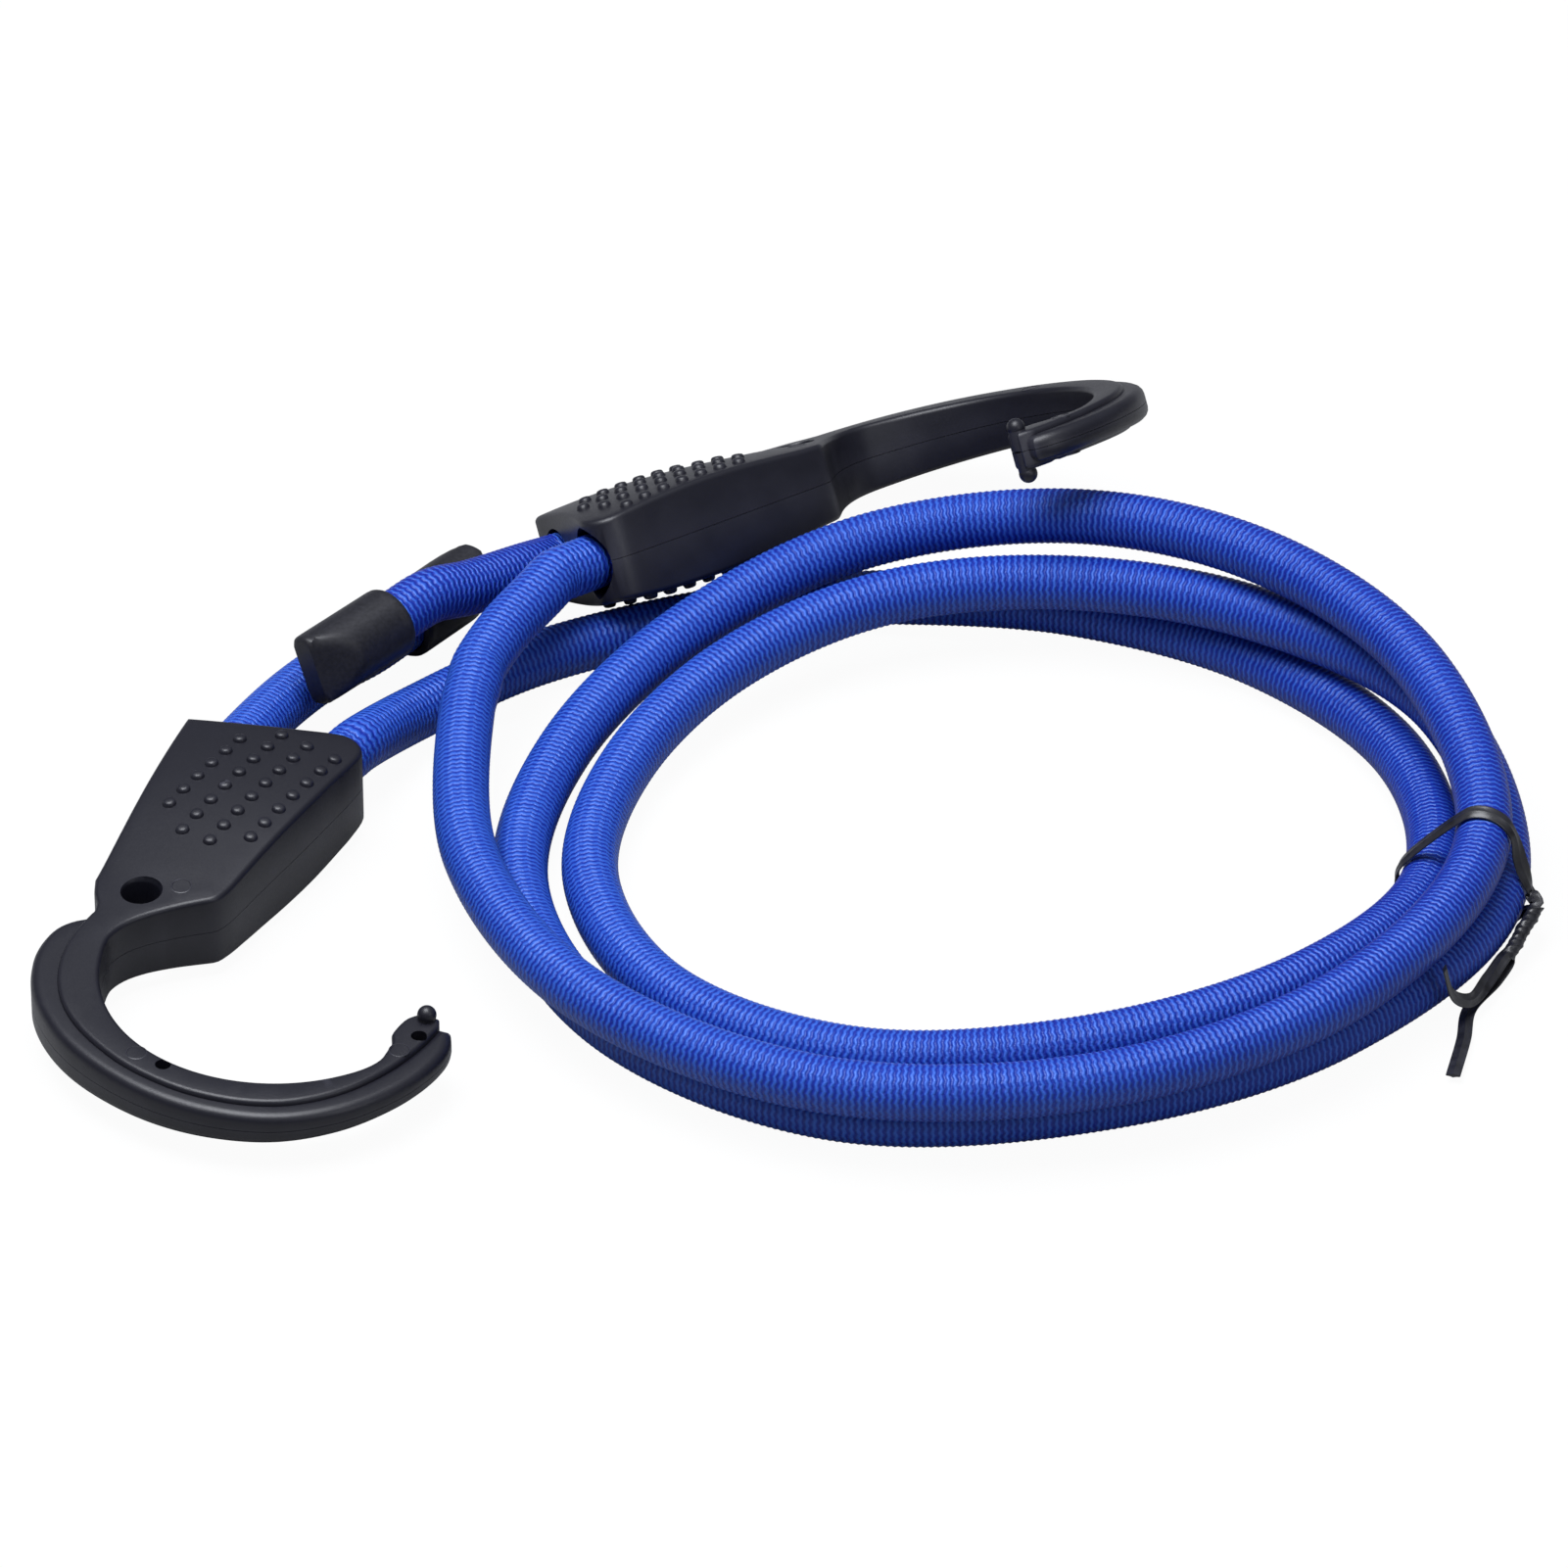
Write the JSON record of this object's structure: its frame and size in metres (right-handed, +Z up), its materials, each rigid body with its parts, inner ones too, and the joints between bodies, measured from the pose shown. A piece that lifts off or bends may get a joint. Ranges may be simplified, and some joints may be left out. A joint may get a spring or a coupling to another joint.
{
  "type": "travel clothesline",
  "caption": "Travel clothesline: an elastic cord doubled through a moulded open hook at each end, its long stretch wound in a coil and bound by a twist tie.",
  "frame": {"origin": "on the surface that the clothesline lies on, under the middle of the box round the two hooks; the cord, coil, end caps and tie lie free and reach past that box", "axes": "+Z up from the surface; +Y away from the viewer, along the longer side of the box round the two hooks; +X to the viewer's right"},
  "size_m": [0.2642, 0.223, 0.0474],
  "materials": {
    "hook_plastic": "near-black moulded plastic, satin, with a fine even grain",
    "cap_plastic": "near-black moulded plastic, a little smoother than the hooks",
    "cord_sleeve": "royal blue woven sleeve of fine crosswise ribs over an elastic core",
    "tie_plastic": "black plastic ribbon over a thin wire, softly glossy"
  },
  "bodies": {
    "root": {"near_hook_upper": "hook_plastic", "near_hook_lower": "hook_plastic", "far_hook_upper": "hook_plastic", "far_hook_lower": "hook_plastic", "cord_in_near_hook": "cord_sleeve", "cord_in_far_hook": "cord_sleeve", "coil": "cord_sleeve", "run_to_far_hook": "cord_sleeve", "run_to_near_hook": "cord_sleeve", "near_tail": "cord_sleeve", "far_tail": "cord_sleeve", "near_tail_cap": "cap_plastic", "far_tail_cap": "cap_plastic", "twist_tie": "tie_plastic"}
  },
  "joints": []
}
